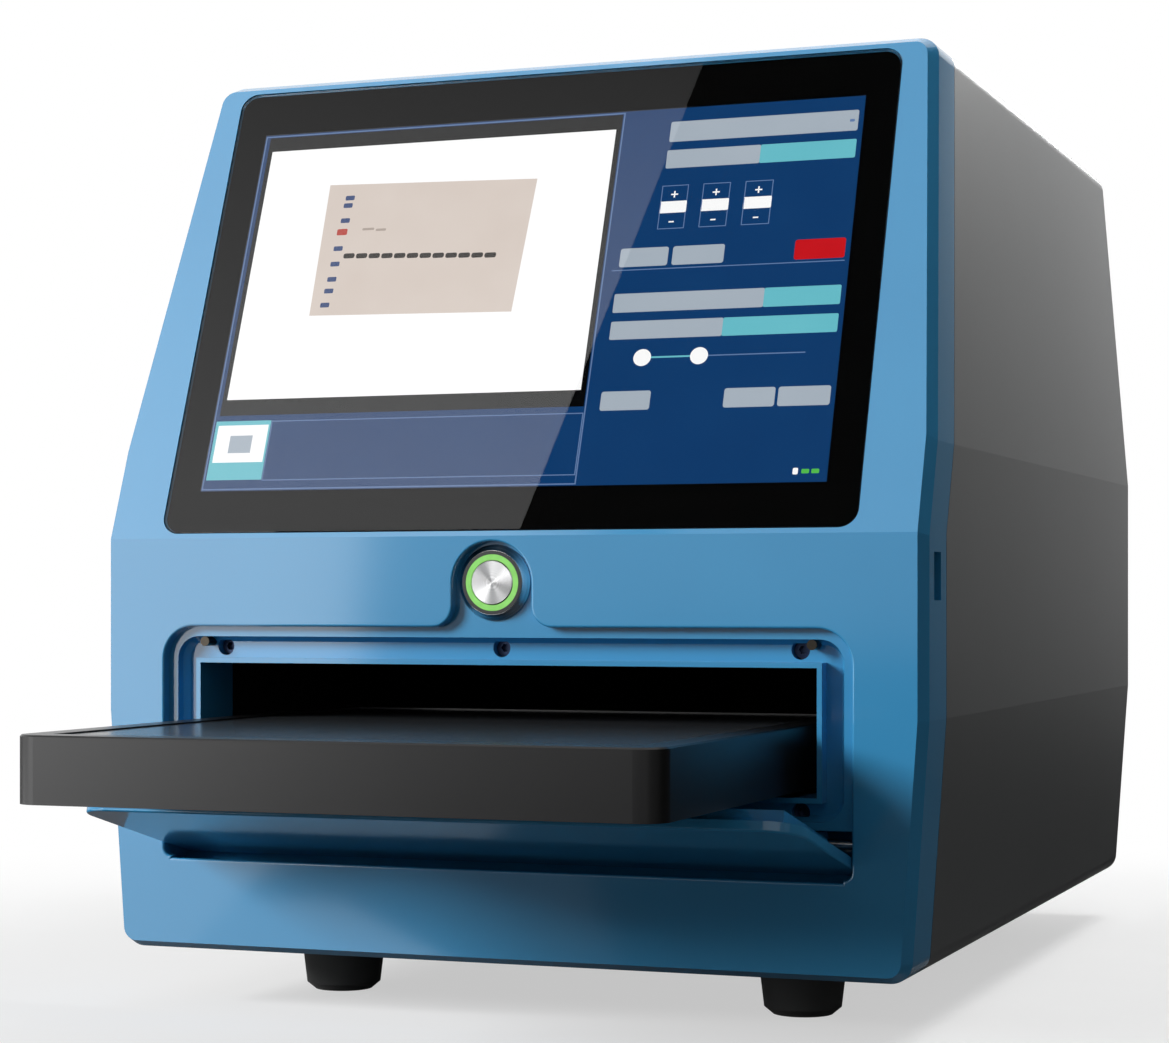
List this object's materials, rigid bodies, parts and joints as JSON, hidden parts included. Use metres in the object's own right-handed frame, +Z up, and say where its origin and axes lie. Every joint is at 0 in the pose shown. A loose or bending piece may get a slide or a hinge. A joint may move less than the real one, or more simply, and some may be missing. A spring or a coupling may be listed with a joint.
{
  "type": "gel documentation system",
  "caption": "Bench imager for gels and blots: sloping touch screen, ring-lit button, motor-driven sample tray under a light-tight chamber, and a spring flap over the tray's mouth.",
  "frame": {"origin": "centre of the overall box, on the plane its feet stand on", "axes": "+X to the right seen from the front, +Y to the back, +Z up"},
  "size_m": [0.2822, 0.4982, 0.3196],
  "materials": {
    "blue_paint": "satin powder coat",
    "grey_paint": "fine satin powder coat",
    "dark_sheet": "matt powder coat",
    "zinc_sheet": "bare sheet",
    "rubber": "matt moulded rubber",
    "steel": "turned or drawn steel",
    "black_screw": "black oxide",
    "magnet": "dark nickel",
    "black_plastic": "moulded",
    "light_green": "translucent, lit",
    "dark_glass": "polished, black printed border",
    "clear_glass": "coated lens",
    "filter_glass": "optical filter",
    "screen": "lit display",
    "circuit_board": "solder mask",
    "tray_black": "black anodised, satin",
    "chamber_black": "matt black, light-absorbing",
    "aluminium": "milled",
    "brass": "machined",
    "motor_metal": "black end caps, laminated steel body",
    "white_plastic": "opal diffuser"
  },
  "bodies": {
    "cabinet": {"front_bezel": "blue_paint", "housing_cover": "grey_paint", "rear_panel": "dark_sheet", "base_pan": "dark_sheet", "chassis_deck": "zinc_sheet", "rubber_feet": "rubber", "foot_screws": "steel", "bezel_screws": "black_screw", "flap_magnets": "magnet", "hinge_pins": "steel", "button_body": "steel", "button_trim_ring": "black_plastic", "button_light_ring": "light_green", "button_nut": "steel", "cover_glass": "dark_glass", "lcd_panel": "screen", "display_bracket": "zinc_sheet", "bracket_screws": "steel", "display_board": "circuit_board", "slide_rails": "steel", "screw_bearing": "aluminium", "drive_motor": "motor_metal", "motor_bracket": "zinc_sheet", "chamber_box": "chamber_black", "camera_bracket": "aluminium", "camera_body": "tray_black", "camera_heat_sink": "aluminium", "lens_barrel": "black_plastic", "lens_glass": "clear_glass", "filter_ring": "aluminium", "emission_filter": "filter_glass", "led_bars": "aluminium", "led_diffusers": "white_plastic", "main_board": "circuit_board", "board_standoffs": "brass", "processor_heat_sink": "aluminium", "power_supply": "zinc_sheet", "fan_frame": "black_plastic", "fan_screws": "steel", "mains_inlet": "black_plastic", "inlet_pins": "steel", "switch_case": "black_plastic", "rear_sockets": "steel", "socket_board": "circuit_board", "side_port": "steel", "side_port_board": "circuit_board"},
    "tray": {"tray_body": "tray_black", "stage_plate": "tray_black", "tray_carriage": "aluminium", "carriage_screws": "steel", "slide_blocks": "steel", "screw_nut": "brass"},
    "spindle": {"lead_screw": "steel", "motor_shaft": "steel"},
    "flap": {"flap_door": "blue_paint"},
    "button": {"button_cap": "steel"},
    "rocker": {"switch_rocker": "black_plastic"},
    "fan": {"fan_rotor": "black_plastic"},
    "focus": {"focus_ring": "black_plastic"}
  },
  "joints": [
    {"name": "tray_slide", "type": "slide", "parent": "cabinet", "child": "tray", "axis": [0, 1, 0], "range_m": [0, 0.132]},
    {"name": "screw_spin", "type": "hinge", "parent": "cabinet", "child": "spindle", "pos_m": [0, -0.02622, 0.047], "axis": [0, 1, 0], "range_deg": [0, 5941]},
    {"name": "flap_hinge", "type": "hinge", "parent": "cabinet", "child": "flap", "pos_m": [0, -0.11812, 0.0617], "axis": [1, 0, 0], "range_deg": [0, 14.8], "stiffness_Nm_per_rad": 0.14, "springref_deg": -75.2},
    {"name": "button_press", "type": "slide", "parent": "cabinet", "child": "button", "axis": [0, 1, 0], "range_m": [0, 0.002], "stiffness_N_per_m": 900},
    {"name": "rocker_tilt", "type": "hinge", "parent": "cabinet", "child": "rocker", "pos_m": [-0.088, 0.24013, 0.1], "axis": [1, 0, 0], "range_deg": [0, 18]},
    {"name": "fan_spin", "type": "hinge", "parent": "cabinet", "child": "fan", "pos_m": [0.06, 0.23312, 0.22], "axis": [0, 1, 0], "continuous": true},
    {"name": "focus_turn", "type": "hinge", "parent": "cabinet", "child": "focus", "pos_m": [0, -0.00422, 0.232], "axis": [0, 0, 1], "range_deg": [-60, 60]}
  ],
  "couplings": [
    {"joint": "screw_spin", "follows": "tray_slide", "rad_per_m": 785.4}
  ]
}
